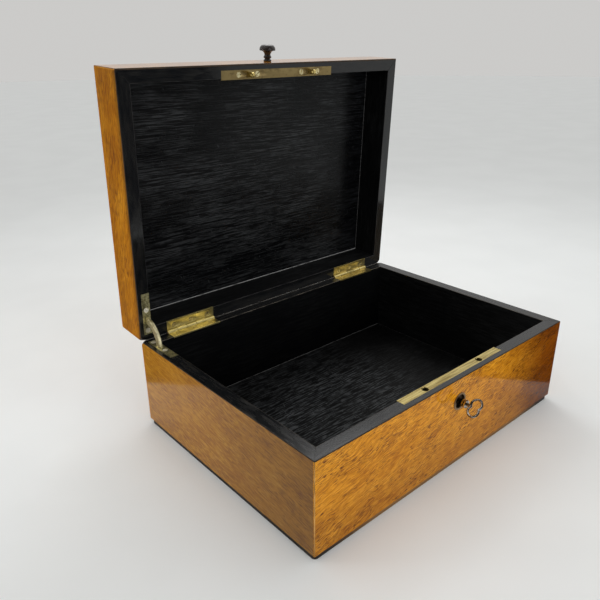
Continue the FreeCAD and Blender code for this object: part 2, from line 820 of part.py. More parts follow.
os.makedirs("parts", exist_ok=True)
for name, shape in nodes.items():
    shape.exportStep("parts/" + name + ".step")
    print(name, len(shape.Solids), round(shape.Volume, 2), shape.isValid())
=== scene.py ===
import json
import math

import bmesh
import bpy
from mathutils import Matrix, Vector


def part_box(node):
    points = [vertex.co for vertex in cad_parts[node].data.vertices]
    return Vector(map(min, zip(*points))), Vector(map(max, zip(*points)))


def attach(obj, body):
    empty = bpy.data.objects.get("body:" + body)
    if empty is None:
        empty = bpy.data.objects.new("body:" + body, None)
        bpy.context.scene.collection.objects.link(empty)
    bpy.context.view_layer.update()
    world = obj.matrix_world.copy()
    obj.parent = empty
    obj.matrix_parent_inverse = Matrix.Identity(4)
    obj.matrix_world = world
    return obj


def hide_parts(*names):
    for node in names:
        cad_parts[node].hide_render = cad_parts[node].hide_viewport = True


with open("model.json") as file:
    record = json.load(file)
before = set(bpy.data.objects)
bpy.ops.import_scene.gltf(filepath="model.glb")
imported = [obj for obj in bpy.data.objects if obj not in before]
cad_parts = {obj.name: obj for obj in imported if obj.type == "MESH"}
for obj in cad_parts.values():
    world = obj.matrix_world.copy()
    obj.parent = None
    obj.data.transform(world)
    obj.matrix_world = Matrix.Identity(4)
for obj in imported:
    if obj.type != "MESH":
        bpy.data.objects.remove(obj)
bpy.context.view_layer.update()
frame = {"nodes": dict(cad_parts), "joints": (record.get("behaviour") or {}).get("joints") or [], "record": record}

# A veneered box standing open on a pale floor. Metres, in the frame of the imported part:
# X to the right, Y to the hinged back, Z up. Marks and edges are given in millimetres.

MM = 0.001
nodes = frame["nodes"]
joints = {joint["name"]: joint for joint in frame["joints"]}
bodies = frame["record"]["behaviour"]["bodies"]
body_of_node = {node: body for body, members in bodies.items() for node in members}

# Camera
photo_size = 600
focal_pixels = 612.74
sensor_width = 36.0
nearest_seen = 0.01
camera_azimuth = math.radians(-41.12)
camera_elevation = math.radians(22.85)
camera_roll = math.radians(-0.5)
camera_distance = 0.47605
camera_target = Vector((-0.06577, 0.0, 0.12834))

# Sky, with the cosines to the camera's side and the heights between which one light passes into another
back_light = 0.6
front_light = 0.12
zenith_light = 0.85
back_to_front = (-0.2, 0.5)
horizon_to_zenith = (0.05, 0.75)
sky_colour = (1.0, 0.99, 0.97, 1.0)

# Floor, with the distances from the box between which it darkens
floor_colour = (0.875, 0.9, 0.905, 1.0)
floor_far_shade = 0.86
floor_fade = (0.35, 1.1)
floor_radius = 6.0
floor_corners = 96

# Cards that the polish reflects
card_colour = (0.16, 0.15, 0.14, 1.0)
warm_card_colour = (0.185, 0.15, 0.09, 1.0)
pale_card_colour = (0.56, 0.5, 0.4, 1.0)
room_colour = (0.05, 0.05, 0.055, 1.0)
left_card_height = 0.31
right_card_height = 0.1
room_height = 1.2

# Lid
lid_axis = Vector(joints["lid_hinge"]["pos_m"])
lid_open_angle = math.radians(joints["lid_hinge"]["range_deg"][1])
shut_turn = Matrix.Rotation(lid_open_angle, 3, "X")

# Where the walls end, with the box shut, in millimetres
inside_x = -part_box("base_left_wall")[1].x / MM
inside_y = -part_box("base_front_wall")[1].y / MM
base_rim_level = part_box("base_front_wall")[1].z / MM
lid_rim_level = 2 * lid_axis.z / MM - base_rim_level

# Worn edges, in millimetres
arris_width = 0.4
mitre_width = 0.25
joint_width = 0.8
metal_edge_width = 0.2
arm_edge_width = 0.4
shortest_arris = 6.0

# How points, edges and faces are told apart: distances in millimetres, angles, and parts of a normal
weld_distance = 0.001
touch = 0.1
flat_angle = math.radians(0.5)
sharp_angle = math.radians(35.0)
rim_facing_least = 0.9
arris_facing_least = 0.2
corner_slant = 0.3
upright_most = 0.5

# Material slots of the walls and the veneers
face_slot, rim_slot, arris_slot, corner_slot = range(4)


# Shader node helpers

def feed(tree, socket, value):
    """Sets a socket to a value, or links another socket to it."""
    if isinstance(value, bpy.types.NodeSocket):
        tree.links.new(value, socket)
    else:
        socket.default_value = value


def add(tree, kind, inputs=None, **settings):
    """A shader node with its settings made and its inputs set or linked."""
    made = tree.nodes.new("ShaderNode" + kind)
    for name, value in settings.items():
        setattr(made, name, value)
    for name, value in (inputs or {}).items():
        feed(tree, made.inputs[name], value)
    return made


def calc(tree, operation, *values):
    """A sum, product or other operation on one to three values."""
    return add(tree, "Math", dict(enumerate(values)), operation=operation).outputs[0]


def vector_calc(tree, operation, *vectors):
    """A sum, length or other operation on one or two vectors."""
    made = add(tree, "VectorMath", dict(enumerate(vectors)), operation=operation)
    return made.outputs["Value" if operation in ("LENGTH", "DOT_PRODUCT") else "Vector"]


def separated(tree, vector):
    """The three parts of a vector."""
    return add(tree, "SeparateXYZ", {0: vector}).outputs


def between(tree, value, low, high, to_low=0.0, to_high=1.0):
    """A smooth step from to_low to to_high while a value goes from low to high."""
    inputs = {"Value": value, "From Min": low, "From Max": high, "To Min": to_low, "To Max": to_high}
    return add(tree, "MapRange", inputs, interpolation_type="SMOOTHSTEP").outputs[0]


def mixed(tree, factor, first, second, mode="MIX"):
    """Two colours mixed by a factor."""
    inputs = {0: factor, 6: first, 7: second}
    return add(tree, "Mix", inputs, data_type="RGBA", blend_type=mode).outputs[2]


def washed(tree, shade, colour):
    """A colour multiplied by a shade of grey."""
    grey = add(tree, "CombineColor", {0: shade, 1: shade, 2: shade}).outputs[0]
    return mixed(tree, 1.0, grey, colour, "MULTIPLY")


def ramp(tree, value, *stops):
    """A colour ramp through (position, red, green, blue) stops."""
    made = add(tree, "ValToRGB", {"Fac": value})
    elements = made.color_ramp.elements
    while len(elements) < len(stops):
        elements.new(1.0)
    for element, (position, *colour) in zip(elements, stops):
        element.position = position
        element.color = (*colour, 1.0)
    return made.outputs[0]


def stretched(tree, vector, lengths, turn=0.0, shift=(0.0, 0.0, 0.0)):
    """Coordinates in millimetres, turned in the grain plane and divided by a length along each axis."""
    turned = add(tree, "Mapping", {"Vector": vector, "Rotation": (0.0, 0.0, -turn), "Location": shift})
    scale = [1.0 / length for length in lengths]
    return add(tree, "Mapping", {"Vector": turned.outputs[0], "Scale": scale}).outputs[0]


def noise(tree, vector, lengths, detail=2.0, roughness=0.5, turn=0.0, shift=(0.0, 0.0, 0.0),
          coloured=False):
    """Fractal noise with spots of a length along each axis, as a value or as a colour."""
    spots = stretched(tree, vector, lengths, turn, shift)
    inputs = {"Vector": spots, "Scale": 1.0, "Detail": detail, "Roughness": roughness}
    return add(tree, "TexNoise", inputs).outputs[1 if coloured else 0]


def mottled(tree, place, spots_per_metre, detail, least):
    """A shade that goes from least to one in soft spots."""
    inputs = {"Vector": place, "Scale": spots_per_metre, "Detail": detail}
    spots = add(tree, "TexNoise", inputs).outputs[0]
    return between(tree, spots, 0.3, 0.7, least, 1.0)


def bent(tree, vector, lengths, reach):
    """Coordinates pushed about by a smooth field, up to half the reach each way."""
    field = noise(tree, vector, lengths, roughness=0.55, coloured=True)
    push = vector_calc(tree, "SUBTRACT", field, (0.5, 0.5, 0.5))
    push = vector_calc(tree, "MULTIPLY", push, reach)
    return vector_calc(tree, "ADD", vector, push)


def bump(tree, height, depth, strength=1.0):
    """A bumped normal, with the depth in millimetres."""
    return add(tree, "Bump", {"Height": height, "Distance": depth * MM, "Strength": strength}).outputs[0]


def new_material(name):
    """A material with one principled shader, as (material, tree, shader)."""
    material = bpy.data.materials.new(name)
    material.use_nodes = True
    tree = material.node_tree
    tree.nodes.clear()
    shader = add(tree, "BsdfPrincipled")
    add(tree, "OutputMaterial", {"Surface": shader.outputs[0]})
    return material, tree, shader


def dress(tree, shader, **inputs):
    """Sets or links a shader's inputs by name, with spaces written as underscores."""
    for name, value in inputs.items():
        feed(tree, shader.inputs[name.replace("_", " ")], value)


def shut_coordinates(tree, in_lid):
    """Where a point of the surface lies in the shut box, in millimetres."""
    place = add(tree, "TexCoord").outputs["Object"]
    if in_lid:
        offset = lid_axis - shut_turn @ lid_axis
        turn = (lid_open_angle, 0.0, 0.0)
        place = add(tree, "Mapping", {"Vector": place, "Rotation": turn, "Location": offset}).outputs[0]
    return add(tree, "VectorMath", {0: place, "Scale": 1.0 / MM}, operation="SCALE").outputs[0]


def grain_coordinates(tree, place, along, shift=(0.0, 0.0, 0.0)):
    """Coordinates ordered along the grain, up or across it, and through the board."""
    parts = separated(tree, place)
    order = {"X": (0, 2, 1), "Y": (1, 2, 0), "XY": (0, 1, 2)}[along]
    ordered = add(tree, "CombineXYZ", {i: parts[axis] for i, axis in enumerate(order)}).outputs[0]
    return vector_calc(tree, "ADD", ordered, shift)


def tinted(tree, colour, place, along, tints):
    """A colour with tints that come in along the grain or across it.

    Each tint is a direction, 0 along the grain or 1 across it, two places in that direction, and the colour
    that multiplies what lies beyond the second, from nothing at the first.
    """
    reaches = separated(tree, grain_coordinates(tree, place, along))
    for direction, first, last, tint in tints:
        depth = between(tree, reaches[direction], first, last)
        colour = mixed(tree, depth, colour, (*tint, 1.0), "MULTIPLY")
    return colour


# Veneer, with the sizes of its marks along the grain, across it and through the board

honey_stops = [(0.26, 0.35, 0.112, 0.004), (0.42, 0.50, 0.185, 0.006), (0.56, 0.63, 0.255, 0.012),
               (0.74, 0.76, 0.34, 0.026)]
fleck_colour = (0.15, 0.045, 0.005, 1.0)
swing_size = (44.0, 22.0, 30.0)
swing_reach = (12.0, 13.0, 0.0)
ripple_size = (9.0, 6.0, 8.0)
ripple_reach = (2.4, 2.8, 0.0)
figure_size = (42.0, 15.0, 30.0)
fibre_size = (8.0, 0.9, 5.0)
fleck_depth = 4.0
hair_size = (6.5, 0.7, 5.0)
crowd_size = (30.0, 16.0, 20.0)
smear_size = (40.0, 30.0, 30.0)
pore_depth = 0.02


def veneer(name, along, in_lid=False, shift=(0.0, 0.0, 0.0), slope=14.0, tone=(1.0, 1.0, 1.0),
           fleck_size=(7.5, 0.85), contrast=0.75, wave=1.0, figured=0.55, polish=(0.05, 0.12), relief=0.3,
           ior=1.37, deepen=()):
    """Honey coloured figured veneer under a worn polish, with dark flecks and hairs that crowd in patches.

    Tone multiplies the honey colours. Wave and figured say how far the grain swings and how much its
    colour varies, contrast how dark the flecks are, and relief how much they stand out. Polish is the
    roughness where the polish is best and worst. Deepen holds tints that come in by place: painted shade,
    in one place partly the wood's own darker figure.
    """
    material, tree, shader = new_material(name)
    place = shut_coordinates(tree, in_lid)
    grain = grain_coordinates(tree, place, along, shift)
    grain = bent(tree, grain, swing_size, [reach * wave for reach in swing_reach])
    grain = bent(tree, grain, ripple_size, [reach * wave for reach in ripple_reach])
    turn = math.radians(slope)
    figure = noise(tree, grain, figure_size, detail=3.0, roughness=0.55, turn=turn)
    fibres = noise(tree, grain, fibre_size, roughness=0.55, turn=turn)
    flecks = noise(tree, grain, (*fleck_size, fleck_depth), 1.0, 0.4, turn, shift=(31.0, 7.0, 0.0))
    hairs = noise(tree, grain, hair_size, 1.0, 0.4, turn, shift=(77.0, 3.0, 0.0))
    crowd = noise(tree, grain, crowd_size, turn=turn, shift=(5.0, 60.0, 0.0))
    stops = [(stop, *(shade * part for shade, part in zip(colour, tone))) for stop, *colour in honey_stops]
    streak = calc(tree, "MULTIPLY_ADD", fibres, 0.9, 0.05 - figured / 2)
    colour = ramp(tree, calc(tree, "MULTIPLY_ADD", figure, figured, streak), *stops)
    threshold = between(tree, crowd, 0.33, 0.67, 0.67, 0.55)
    fleck = between(tree, calc(tree, "SUBTRACT", flecks, threshold), 0.0, 0.06)
    hair = between(tree, calc(tree, "SUBTRACT", hairs, threshold), -0.05, 0.05, 0.0, 0.5)
    dark = calc(tree, "MULTIPLY", calc(tree, "MAXIMUM", fleck, hair), contrast)
    colour = mixed(tree, dark, colour, fleck_colour)
    colour = tinted(tree, colour, place, along, deepen)
    smear = noise(tree, grain, smear_size, detail=4.0, roughness=0.6)
    roughness = between(tree, smear, 0.3, 0.7, *polish)
    height = calc(tree, "SUBTRACT", calc(tree, "MULTIPLY", fibres, 0.3), fleck)
    normal = bump(tree, height, pore_depth, relief)
    dress(tree, shader, Base_Color=colour, Roughness=roughness, IOR=ior, Normal=normal)
    return material


# Black stained wood, with the sizes of its marks in the same order

stain_colour = (0.0014, 0.0016, 0.002)
line_swing_size = (55.0, 14.0, 14.0)
broad_size = (60.0, 34.0, 34.0)
scratch_size = (5.5, 1.2, 1.2)
scratch_turn = 1.2
line_depth = 0.1
scuff_size = (16.0, 3.0, 3.0)
rim_fibre_size = (22.0, 0.8, 0.8)
rim_fibre_depth = 0.015


def black_wood(name, along, in_lid=False, shift=(0.0, 0.0, 0.0), pale=0.012, line_size=(26.0, 0.95),
               polish=(0.5, 0.62), gloss=0.2, wave=3.0, faint=0.35, dust_and_highlight=None, deepen=()):
    """Open grained wood stained black, matt, with paler grain lines and small scratches.

    Pale is the shade of the lines, wave how far they swing, in millimetres, and faint the part of their
    shade that they keep where they are weakest. The strip shades give the pale strips along the joints with
    the back and the side walls, partly dust and partly painted highlight. Deepen holds tints that come in
    by place, painted shade.
    """
    material, tree, shader = new_material(name)
    place = shut_coordinates(tree, in_lid)
    grain = grain_coordinates(tree, place, along, shift)
    grain = bent(tree, grain, line_swing_size, (0.0, wave, 0.0))
    length, width = line_size
    lines = noise(tree, grain, (length, width, width), detail=1.0, roughness=0.4)
    breaks = noise(tree, grain, (length / 3, width * 2, width * 2), shift=(90.0, 0.0, 0.0))
    broad = noise(tree, grain, broad_size, detail=3.0, roughness=0.55)
    scratches = noise(tree, grain, scratch_size, turn=scratch_turn, shift=(0.0, 40.0, 0.0))
    whole = between(tree, breaks, 0.34, 0.6, 0.3, 1.0)
    line = calc(tree, "MULTIPLY", between(tree, lines, 0.48, 0.55), whole)
    shade = calc(tree, "MULTIPLY", line, between(tree, broad, 0.35, 0.65, faint, 1.0))
    shade = calc(tree, "ADD", shade, between(tree, scratches, 0.68, 0.76, 0.0, 0.9))
    colour = ramp(tree, shade, (0.0, *stain_colour), (1.0, pale * 0.94, pale, pale * 1.06))
    colour = tinted(tree, colour, place, along, deepen)
    # Pale strips along the joints with the back and side walls: partly dust, partly painted highlight
    if dust_and_highlight:
        back_dust_and_highlight, side_dust_and_highlight = dust_and_highlight
        parts = separated(tree, place)
        lies = between(tree, breaks, 0.3, 0.5, 0.3, 1.0)
        sideways = calc(tree, "ABSOLUTE", parts[0])
        for reach, wall, grey in ((sideways, inside_x, side_dust_and_highlight), (parts[1], inside_y, back_dust_and_highlight)):
            strip = between(tree, reach, wall - joint_width, wall - joint_width / 2)
            colour = mixed(tree, calc(tree, "MULTIPLY", strip, lies), colour, (grey, grey, grey, 1.0))
    roughness = between(tree, broad, 0.33, 0.67, *polish)
    normal = bump(tree, line, line_depth, 0.6)
    dress(tree, shader, Base_Color=colour, Roughness=roughness, Specular_IOR_Level=gloss, Normal=normal)
    return material


def rim_black(name, along, in_lid=False, shift=(0.0, 0.0, 0.0), polish=(0.2, 0.34), scuffed=0.03):
    """Black stained wood with a worn polish, for the edges that meet when the box is shut.

    Scuffed is how pale the wood is where it is rubbed most.
    """
    material, tree, shader = new_material(name)
    place = shut_coordinates(tree, in_lid)
    grain = grain_coordinates(tree, place, along, shift)
    scuff = noise(tree, grain, scuff_size, detail=4.0, roughness=0.65)
    fibres = noise(tree, grain, rim_fibre_size)
    colour = ramp(tree, scuff, (0.4, 0.0038, 0.0043, 0.0052), (0.58, 0.008, 0.008, 0.008),
                  (0.72, scuffed, scuffed * 0.96, scuffed * 0.88))
    roughness = between(tree, scuff, 0.35, 0.7, *polish)
    normal = bump(tree, fibres, rim_fibre_depth, 0.4)
    dress(tree, shader, Base_Color=colour, Roughness=roughness, IOR=1.52, Normal=normal)
    return material


# Worn, rubbed and turned wood, and pale corners that are partly painted highlight

wear_size = (16.0, 16.0, 16.0)
speck_size = (0.6, 0.6, 0.6)
speck_depth = 0.02
worn_polish = (0.4, 0.6)
worn_gloss = 0.2
foot_wear_size = (20.0, 20.0, 3.0)
foot_wear_depth = 0.1
foot_wear_reach = 40.0
foot_black_reach = (105.0, 160.0)
knob_streak_size = (9.0, 0.7, 0.7)
knob_streak_depth = 0.05


def worn_and_highlit_wood(name, dark, light, in_lid=False):
    """Wood pale in broken stretches, for arrises, joints and corners: wear, and on the rounded corners partly
    painted highlight.
    """
    material, tree, shader = new_material(name)
    place = shut_coordinates(tree, in_lid)
    wear = noise(tree, place, wear_size, detail=3.0, roughness=0.6)
    colour = mixed(tree, between(tree, wear, 0.35, 0.65), (*dark, 1.0), (*light, 1.0))
    specks = noise(tree, place, speck_size)
    roughness = between(tree, wear, 0.3, 0.7, *worn_polish)
    normal = bump(tree, specks, speck_depth, 0.5)
    dress(tree, shader, Base_Color=colour, Roughness=roughness, Specular_IOR_Level=worn_gloss,
          Normal=normal)
    return material


def foot_wood(name):
    """The bottom board's edge, black at the corners and rubbed brown between them."""
    material, tree, shader = new_material(name)
    place = shut_coordinates(tree, False)
    wear = noise(tree, place, foot_wear_size, detail=3.0, roughness=0.6)
    sideways = calc(tree, "ABSOLUTE", separated(tree, place)[0])
    reach = calc(tree, "MULTIPLY_ADD", wear, foot_wear_reach, sideways)
    black = between(tree, reach, *foot_black_reach)
    colour = ramp(tree, black, (0.0, 0.17, 0.085, 0.026), (1.0, 0.012, 0.009, 0.007))
    roughness = between(tree, wear, 0.3, 0.7, *worn_polish)
    normal = bump(tree, wear, foot_wear_depth, 0.5)
    dress(tree, shader, Base_Color=colour, Roughness=roughness, Specular_IOR_Level=worn_gloss,
          Normal=normal)
    return material


def knob_wood(name):
    """Turned wood stained nearly black."""
    material, tree, shader = new_material(name)
    grain = grain_coordinates(tree, shut_coordinates(tree, True), "Y")
    streaks = noise(tree, grain, knob_streak_size, detail=3.0, roughness=0.6)
    colour = ramp(tree, streaks, (0.3, 0.006, 0.005, 0.0045), (0.7, 0.03, 0.022, 0.017))
    roughness = between(tree, streaks, 0.3, 0.7, 0.2, 0.34)
    normal = bump(tree, streaks, knob_streak_depth, 0.5)
    dress(tree, shader, Base_Color=colour, Roughness=roughness, IOR=1.5, Normal=normal)
    return material


# Metal

metal_scratch_size = (7.0, 0.16, 0.16)
metal_scratch_turn = 0.12
scratch_share = 0.25
dent_size = (0.5, 0.5, 0.5)
dent_depth = 0.012
dent_roughness = 0.08


def metal(name, bright, dull, tarnish_size=6.0, cover=(0.42, 0.7), polish=(0.28, 0.48), in_lid=False,
          along="X", breadth=0.6, dented=0.6, ring=None):
    """Worn metal with dull patches, fine scratches and small dents.

    Cover says between which levels of the patches' noise the metal turns dull, and breadth how broad a
    patch is for its length. Dented is how much the scratches and dents stand out. Ring gives a place and
    the two radii in millimetres between which the dull metal turns bright.
    """
    material, tree, shader = new_material(name)
    place = shut_coordinates(tree, in_lid)
    grain = grain_coordinates(tree, place, along)
    across = tarnish_size * breadth
    patch = noise(tree, grain, (tarnish_size, across, across), detail=5.0, roughness=0.65)
    scratch = noise(tree, grain, metal_scratch_size, roughness=0.6, turn=metal_scratch_turn)
    dents = noise(tree, grain, dent_size)
    plain = calc(tree, "SUBTRACT", patch, scratch_share / 2)
    tarnish = between(tree, calc(tree, "MULTIPLY_ADD", scratch, scratch_share, plain), *cover)
    if ring:
        centre, inner, outer = ring
        spoke = vector_calc(tree, "SUBTRACT", place, centre)
        flat = vector_calc(tree, "MULTIPLY", spoke, (1.0, 0.0, 1.0))
        radius = vector_calc(tree, "LENGTH", flat)
        tarnish = calc(tree, "MULTIPLY", tarnish, between(tree, radius, inner, outer, 1.0, 0.0))
    colour = mixed(tree, tarnish, (*bright, 1.0), (*dull, 1.0))
    roughness = between(tree, patch, *cover, *polish)
    roughness = calc(tree, "ADD", roughness, calc(tree, "MULTIPLY", dents, dent_roughness))
    height = calc(tree, "ADD", calc(tree, "MULTIPLY", scratch, 0.5), dents)
    normal = bump(tree, height, dent_depth, dented)
    dress(tree, shader, Base_Color=colour, Metallic=1.0, Roughness=roughness, Normal=normal)
    return material


# Finer pieces

def shut_point(point, in_lid):
    """Where a point lies when the box is shut, in millimetres."""
    place = lid_axis + shut_turn @ (point - lid_axis) if in_lid else point
    return place / MM


def shut_normal(normal, in_lid):
    """Which way a face looks when the box is shut."""
    return shut_turn @ normal if in_lid else normal


def rim_facing(normal, in_lid):
    """How squarely a face looks at the plane where the lid meets the base, one at most."""
    upward = shut_normal(normal, in_lid).z
    return -upward if in_lid else upward


def new_object(name, data):
    """A new object in the scene."""
    made = bpy.data.objects.new(name, data)
    bpy.context.scene.collection.objects.link(made)
    return made


def stand_for(node, mesh):
    """A piece that stands for a node and moves with it."""
    piece = new_object(node + "_fine", mesh)
    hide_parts(node)
    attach(piece, body_of_node[node])


def open_form(node):
    """A node's shape as a form to work on, with its flat faces whole."""
    form = bmesh.new()
    form.from_mesh(nodes[node].data)
    bmesh.ops.remove_doubles(form, verts=form.verts, dist=weld_distance * MM)
    bmesh.ops.dissolve_limit(form, angle_limit=flat_angle, verts=form.verts, edges=form.edges)
    return form


def ease(form, in_lid, keep, width, steps, slot):
    """Eases a form's sharp edges that a test of their two ends keeps, with a slot for the new faces."""
    whole = [edge for edge in form.edges if len(edge.link_faces) == 2]
    sharp = [edge for edge in whole if edge.calc_face_angle() > sharp_angle]
    chosen = [edge for edge in sharp if keep(*(shut_point(corner.co, in_lid) for corner in edge.verts))]
    bmesh.ops.bevel(form, geom=chosen, offset=width * MM, segments=steps, profile=0.5, affect="EDGES",
                    clamp_overlap=True, material=slot)


def closed_mesh(form, name, materials):
    """The finished mesh of a form with its materials."""
    mesh = bpy.data.meshes.new(name)
    form.to_mesh(mesh)
    form.free()
    for material in materials:
        mesh.materials.append(material)
    return mesh


def copied_mesh(node, materials):
    """A copy of a node's mesh with other materials."""
    mesh = nodes[node].data.copy()
    mesh.materials.clear()
    for material in materials:
        mesh.materials.append(material)
    return mesh


def inner_arris(level):
    """A test for long edges along the inner faces of the walls, at one height."""
    def keep(first, second):
        middle = (first + second) / 2
        run = second - first
        along_side = abs(abs(middle.x) - inside_x) < touch and abs(run.y) > shortest_arris
        along_end = abs(abs(middle.y) - inside_y) < touch and abs(run.x) > shortest_arris
        return abs(middle.z - level) < touch and (along_side or along_end)
    return keep


def mitre(level):
    """A test for the slanting edges where two walls meet, at one height."""
    def keep(first, second):
        run = second - first
        slanting = abs(abs(run.x) - abs(run.y)) < touch and abs(run.x) > touch
        return abs(first.z - level) < touch and abs(second.z - level) < touch and slanting
    return keep


def worn_wall(node, in_lid, inside, rim, arris):
    """A wall with its inner arris worn and its mitres open by a hair."""
    form = open_form(node)
    rim_level = lid_rim_level if in_lid else base_rim_level
    ease(form, in_lid, inner_arris(rim_level), arris_width, steps=2, slot=arris_slot)
    ease(form, in_lid, mitre(rim_level), mitre_width, steps=1, slot=rim_slot)
    form.normal_update()
    for face in form.faces:
        face.smooth = False
        if face.material_index == face_slot and rim_facing(face.normal, in_lid) > rim_facing_least:
            face.material_index = rim_slot
    stand_for(node, closed_mesh(form, node + "_fine", (inside, rim, arris)))


def edged_veneer(node, in_lid, faced, edge, arris, corner):
    """A veneer with other materials on its edge in the rim, the arris below and the rounded corners."""
    mesh = copied_mesh(node, (faced, edge, arris, corner))
    for face in mesh.polygons:
        facing = rim_facing(face.normal, in_lid)
        normal = shut_normal(face.normal, in_lid)
        if facing > rim_facing_least:
            face.material_index = rim_slot
        elif facing > arris_facing_least:
            face.material_index = arris_slot
        elif min(abs(normal.x), abs(normal.y)) > corner_slant:
            face.material_index = corner_slot
    stand_for(node, mesh)


def edged_board(node, material, edge):
    """A board with another material on its upright edges."""
    mesh = copied_mesh(node, (material, edge))
    for face in mesh.polygons:
        face.material_index = int(abs(face.normal.z) < upright_most)
    stand_for(node, mesh)


def eased_metal(node, material, width=metal_edge_width):
    """A metal piece with its sharp edges rubbed down."""
    form = open_form(node)
    ease(form, False, lambda first, second: True, width, steps=1, slot=face_slot)
    for face in form.faces:
        face.smooth = True
    mesh = closed_mesh(form, node + "_fine", (material,))
    mesh.set_sharp_from_angle(angle=sharp_angle)
    stand_for(node, mesh)


def paint(node, material):
    """Gives a node its material."""
    for slot in nodes[node].material_slots:
        slot.material = material


# Wooden pieces: each side's grain with its slope in degrees, and what sets it apart from the plain veneer
grain_of_side = {"front": ("X", 12.0), "back": ("X", 14.0), "left": ("Y", 9.0), "right": ("Y", 18.0)}
side_figure = {"fleck_size": (6.0, 0.65), "contrast": 0.65, "wave": 0.45, "figured": 0.35}
figure_of = {
    # base_front darkens and reddens towards its right end, partly the wood's own darker figure and partly painted
    # shade, and darkens towards its foot, painted shade
    "base_front": {"tone": (0.99, 1.0, 1.0), "ior": 1.23, "fleck_size": (5.0, 0.6), "contrast": 1.0,
                   "deepen": [(0, 35.0, 140.0, (0.29, 0.175, 0.04)), (1, 55.0, 10.0, (0.76, 0.74, 0.80))]},
    # base_left is a darker, greyer copy of the honey veneer, painted shade and sheen, and it darkens further
    # towards its front end, painted shade
    "base_left": {"tone": (0.74, 0.79, 0.95), "ior": 1.34, **side_figure,
                  "deepen": [(0, 40.0, -110.0, (0.60, 0.60, 0.68))]},
    # lid_left darkens towards its rim, painted shade
    "lid_left": {"tone": (0.80, 0.74, 0.40), **side_figure, "contrast": 0.8, "figured": 0.7,
                 "deepen": [(1, 88.0, 80.0, (0.42, 0.44, 0.7))]},
    "lid_front": {"polish": (0.02, 0.05), "relief": 0.1, "ior": 1.65},
}
stain_of = {"base_back": {"pale": 0.005, "gloss": 0.06}}
# Painted shade: the lid panel darkens towards its right wall, with a painted reflection of that dark wall, and the
# box's floor darkens towards the back and the right
panel_shade = [(0, 100.0, 118.0, (0.4, 0.4, 0.43))]
floor_shade = [(1, 20.0, 80.0, (0.35, 0.35, 0.35)), (0, 10.0, 95.0, (0.12, 0.12, 0.12))]
lid_rim_finish = {"polish": (0.1, 0.2), "scuffed": 0.011}
brown_shades = ((0.022, 0.013, 0.007), (0.05, 0.03, 0.016))
arris_wear = worn_and_highlit_wood("arris_wear", (0.02, 0.018, 0.016), (0.11, 0.095, 0.075))
arris_wear_lid = worn_and_highlit_wood("arris_wear_lid", (0.006, 0.006, 0.007), (0.035, 0.034, 0.033), True)
# The base's back veneer is pale grey along its top edge, by the hinge line
back_edge_pale = worn_and_highlit_wood("back_edge_pale", (0.03, 0.028, 0.026), (0.2, 0.19, 0.175))
brown_edge = worn_and_highlit_wood("brown_edge", *brown_shades)
brown_edge_lid = worn_and_highlit_wood("brown_edge_lid", *brown_shades, True)
# Pale on the veneers' rounded upright corners: partly worn polish, partly painted highlight
pale_corner = worn_and_highlit_wood("pale_corner", (0.30, 0.14, 0.025), (0.62, 0.37, 0.13))
pale_corner_lid = worn_and_highlit_wood("pale_corner_lid", (0.16, 0.07, 0.011), (0.36, 0.19, 0.055), True)

# How far the grain is moved from one side to the next and from the base to the lid, in millimetres
next_side_shift = Vector((173.0, 0.0, 29.0))
lid_shift = Vector((0.0, 61.0, 0.0))
top_shift = (0.0, 400.0, 0.0)
floor_shift = (300.0, 50.0, 0.0)

for part, in_lid in (("base", False), ("lid", True)):
    arris = arris_wear_lid if in_lid else arris_wear
    brown = brown_edge_lid if in_lid else brown_edge
    corner = pale_corner_lid if in_lid else pale_corner
    rim_finish = lid_rim_finish if in_lid else {}
    for number, (side, (along, slope)) in enumerate(grain_of_side.items()):
        shift = next_side_shift * number + lid_shift * in_lid
        label = f"{part}_{side}"
        rim = rim_black(label + "_rim", along, in_lid, shift, **rim_finish)
        inside = black_wood(label + "_inside", along, in_lid, shift, **stain_of.get(label, {}))
        worn_wall(label + "_wall", in_lid, inside, rim, arris)
        faced = veneer(label + "_veneer", along, in_lid, shift, slope, **figure_of.get(label, {}))
        edge = {"lid_front": brown, "base_back": back_edge_pale}.get(label, rim)
        edged_veneer(label + "_veneer", in_lid, faced, edge, brown, corner)

paint("lid_top_veneer", veneer("lid_top_veneer", "XY", True, top_shift))
# The lid panel's pale joint strips are partly dust and partly painted highlight, and it darkens towards its right
# wall, painted shade
panel_black = black_wood("lid_panel_black", "XY", True, pale=0.03, line_size=(24.0, 0.65),
                         polish=(0.24, 0.34), gloss=0.17, wave=0.7, faint=0.2, dust_and_highlight=(0.34, 0.10),
                         deepen=panel_shade)
paint("lid_top_panel", panel_black)
# The floor's pale joint strips are partly dust and partly painted highlight, and it darkens towards the back and
# the right, painted shade
floor_black = black_wood("floor_black", "XY", False, floor_shift, pale=0.1, line_size=(18.0, 1.3),
                         faint=0.6, dust_and_highlight=(0.15, 0.03), deepen=floor_shade)
edged_board("base_floor", floor_black, foot_wood("foot_brown"))
paint("lid_knob", knob_wood("knob_black"))

# Metal pieces
lock_centre = Vector(joints["key_turn"]["pos_m"]) / MM
plate_low, plate_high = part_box("escutcheon")
plate_radius = (plate_high.x - plate_low.x) / 2 / MM
plate_rim = (lock_centre, plate_radius - 1.6, plate_radius - 1.3)
